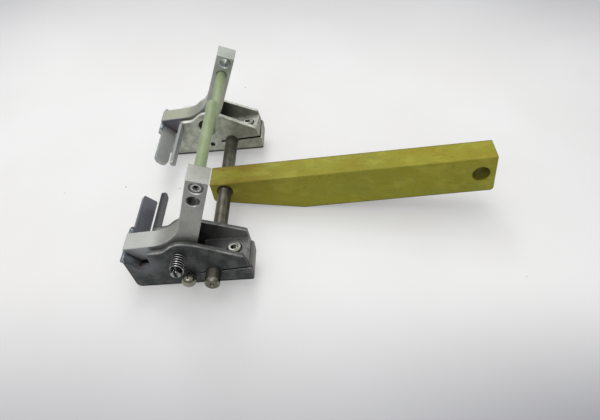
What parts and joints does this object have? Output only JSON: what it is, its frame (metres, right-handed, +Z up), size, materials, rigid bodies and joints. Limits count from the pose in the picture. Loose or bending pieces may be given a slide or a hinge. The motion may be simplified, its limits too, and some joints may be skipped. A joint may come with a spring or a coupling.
{
  "type": "holding fixture",
  "caption": "Hand-held holding fixture: two spring-closed clamps with V jaws slide on a cross shaft, opened by thumb rods, with a long flat handle.",
  "frame": {"origin": "on the bench under the centre of the whole fixture", "axes": "+X along the handle away from the clamps, +Y along the cross shaft from the front clamp to the rear clamp, +Z up"},
  "size_m": [0.2042, 0.149, 0.0725],
  "materials": {
    "handle_metal": "olive-yellow chromate coating, rubbed",
    "clamp_casting": "blackened, worn bright on the edges",
    "finger_steel": "heat-tinted dark",
    "lever_metal": "satin, scuffed",
    "shaft_steel": "dull turned steel",
    "bush_steel": "blackened",
    "pin_steel": "dark oiled steel",
    "anchor_nickel": "nickel plated, slightly yellowed",
    "spring_wire": "bright spring wire",
    "screw_steel": "bright plated steel",
    "rod_plastic": "pale green glass-epoxy"
  },
  "bodies": {
    "frame": {"handle": "handle_metal", "handle_bush": "bush_steel", "handle_set_screw": "pin_steel", "cross_shaft": "shaft_steel"},
    "front_clamp": {"front_clamp_body": "clamp_casting", "front_clamp_screw": "screw_steel", "front_sloped_finger": "finger_steel", "front_upright_finger": "finger_steel", "front_anchor_pin": "anchor_nickel", "front_spring": "spring_wire"},
    "front_lever_arm": {"front_lever": "lever_metal", "front_lever_set_screw": "pin_steel", "front_pivot_pin": "pin_steel", "front_pivot_spacers": "screw_steel", "front_thumb_rod": "rod_plastic", "front_rod_screw": "screw_steel"},
    "rear_clamp": {"rear_clamp_body": "clamp_casting", "rear_clamp_screw": "screw_steel", "rear_sloped_finger": "finger_steel", "rear_upright_finger": "finger_steel", "rear_anchor_pin": "anchor_nickel", "rear_spring": "spring_wire"},
    "rear_lever_arm": {"rear_lever": "lever_metal", "rear_lever_set_screw": "pin_steel", "rear_pivot_pin": "pin_steel", "rear_pivot_spacers": "screw_steel", "rear_thumb_rod": "rod_plastic", "rear_rod_screw": "screw_steel"}
  },
  "joints": [
    {"name": "front_clamp_slide", "type": "slide", "parent": "frame", "child": "front_clamp", "axis": [0, 1, 0], "range_m": [-0.0065, 0.011]},
    {"name": "rear_clamp_slide", "type": "slide", "parent": "frame", "child": "rear_clamp", "axis": [0, 1, 0], "range_m": [-0.011, 0.0065]},
    {"name": "front_lever_hinge", "type": "hinge", "parent": "front_clamp", "child": "front_lever_arm", "pos_m": [-0.072, -0.05385, 0.02423], "axis": [0, 1, 0], "range_deg": [0, 35], "stiffness_Nm_per_rad": 0.12, "springref_deg": -45.84, "deforming": ["front_spring"]},
    {"name": "rear_lever_hinge", "type": "hinge", "parent": "rear_clamp", "child": "rear_lever_arm", "pos_m": [-0.072, 0.05385, 0.02423], "axis": [0, 1, 0], "range_deg": [0, 35], "stiffness_Nm_per_rad": 0.12, "springref_deg": -45.84, "deforming": ["rear_spring"]}
  ]
}
